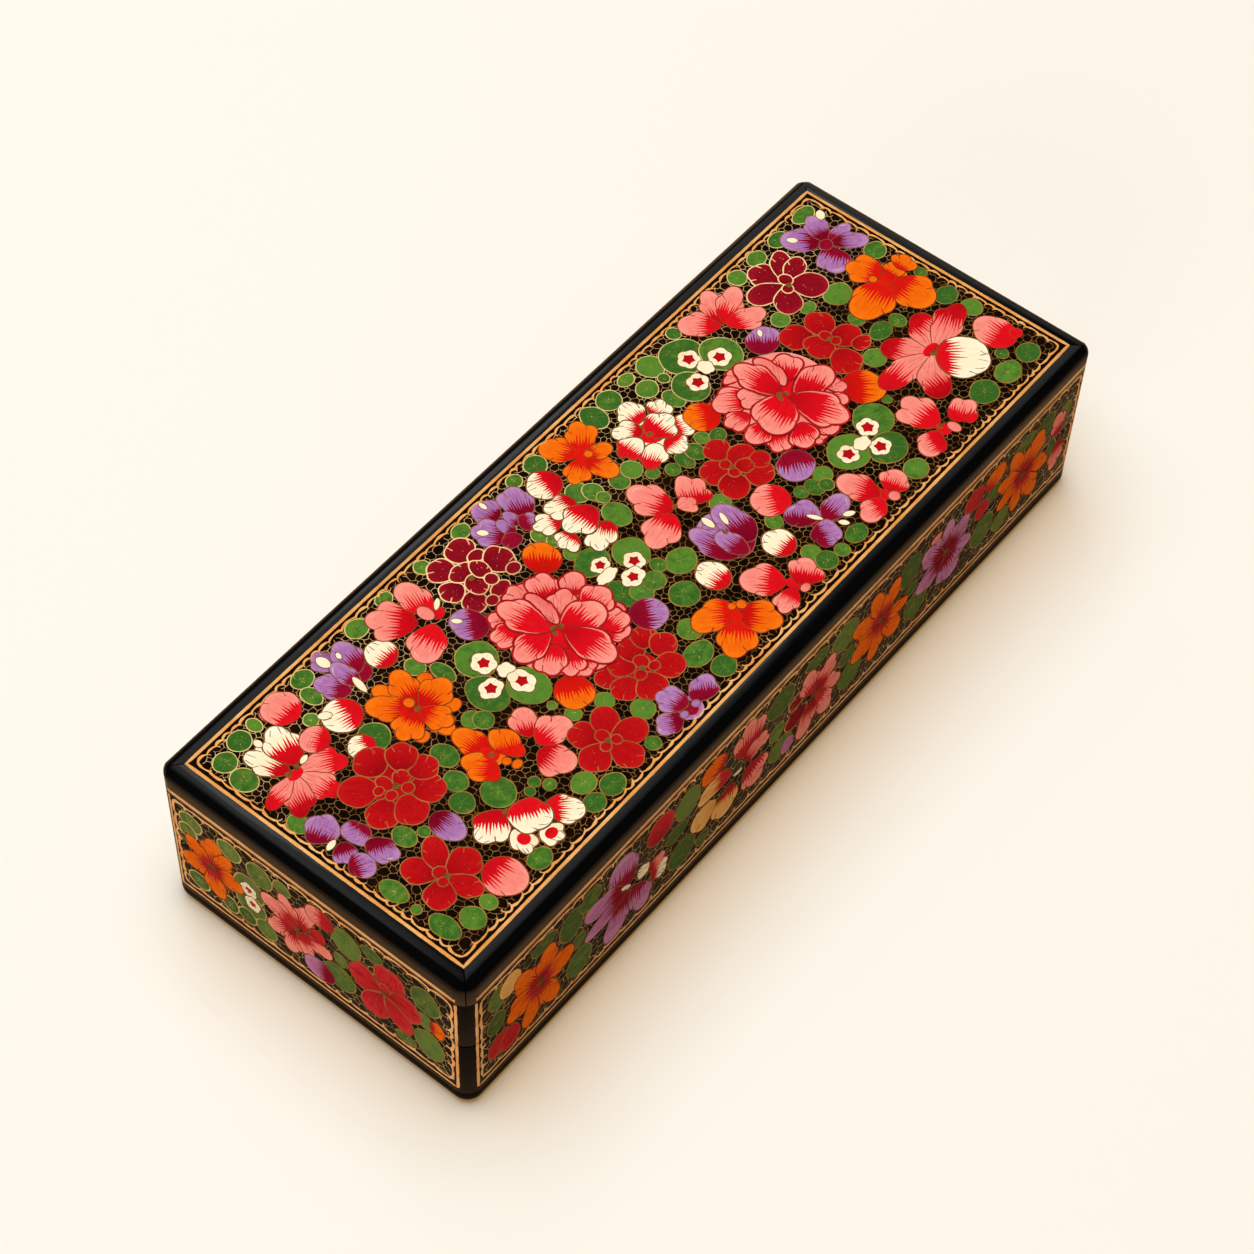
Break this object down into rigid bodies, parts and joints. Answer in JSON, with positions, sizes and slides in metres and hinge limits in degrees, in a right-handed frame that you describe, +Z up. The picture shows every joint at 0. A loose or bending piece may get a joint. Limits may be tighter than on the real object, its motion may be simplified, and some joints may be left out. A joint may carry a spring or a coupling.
{
  "type": "lacquer box",
  "caption": "Long low wooden box with a lift-off lid, black lacquer all over and painted flowers in gold lines on the top and sides.",
  "frame": {"origin": "middle of the underside, on the surface that the box stands on", "axes": "+X along the box, +Y to the back long side, +Z up; the picture's near long side faces -Y and its near short side faces -X"},
  "size_m": [0.25, 0.095, 0.0545],
  "materials": {
    "black_lacquer": "gloss black lacquer over gesso on wood",
    "painted_side": "painted flowers and gold lines on black, under clear lacquer",
    "painted_top": "painted flowers and gold lines on black, under clear lacquer",
    "collar_lacquer": "satin black lacquer",
    "felt_lining": "dark red felt",
    "steel_brad": "bare steel"
  },
  "bodies": {
    "base": {"base_bottom_panel": "black_lacquer", "base_wall_front": "painted_side", "base_wall_right": "painted_side", "base_wall_back": "painted_side", "base_wall_left": "painted_side", "collar_front": "collar_lacquer", "collar_right": "collar_lacquer", "collar_back": "collar_lacquer", "collar_left": "collar_lacquer", "base_lining": "felt_lining", "base_brad_front_left_lower": "steel_brad", "base_brad_front_left_upper": "steel_brad", "base_brad_front_right_lower": "steel_brad", "base_brad_front_right_upper": "steel_brad", "base_brad_back_left_lower": "steel_brad", "base_brad_back_left_upper": "steel_brad", "base_brad_back_right_lower": "steel_brad", "base_brad_back_right_upper": "steel_brad", "bottom_brad_front_1": "steel_brad", "bottom_brad_front_2": "steel_brad", "bottom_brad_right_1": "steel_brad", "bottom_brad_back_1": "steel_brad", "bottom_brad_back_2": "steel_brad", "bottom_brad_left_1": "steel_brad"},
    "lid": {"lid_top_panel": "painted_top", "lid_moulding_front": "black_lacquer", "lid_moulding_right": "black_lacquer", "lid_moulding_back": "black_lacquer", "lid_moulding_left": "black_lacquer", "lid_wall_front": "painted_side", "lid_wall_right": "painted_side", "lid_wall_back": "painted_side", "lid_wall_left": "painted_side", "lid_lining": "felt_lining", "lid_brad_front_left_lower": "steel_brad", "lid_brad_front_left_upper": "steel_brad", "lid_brad_front_right_lower": "steel_brad", "lid_brad_front_right_upper": "steel_brad", "lid_brad_back_left_lower": "steel_brad", "lid_brad_back_left_upper": "steel_brad", "lid_brad_back_right_lower": "steel_brad", "lid_brad_back_right_upper": "steel_brad"}
  },
  "joints": [
    {"name": "lid_lift", "type": "slide", "parent": "base", "child": "lid", "axis": [0, 0, 1], "range_m": [0, 0.06]}
  ]
}
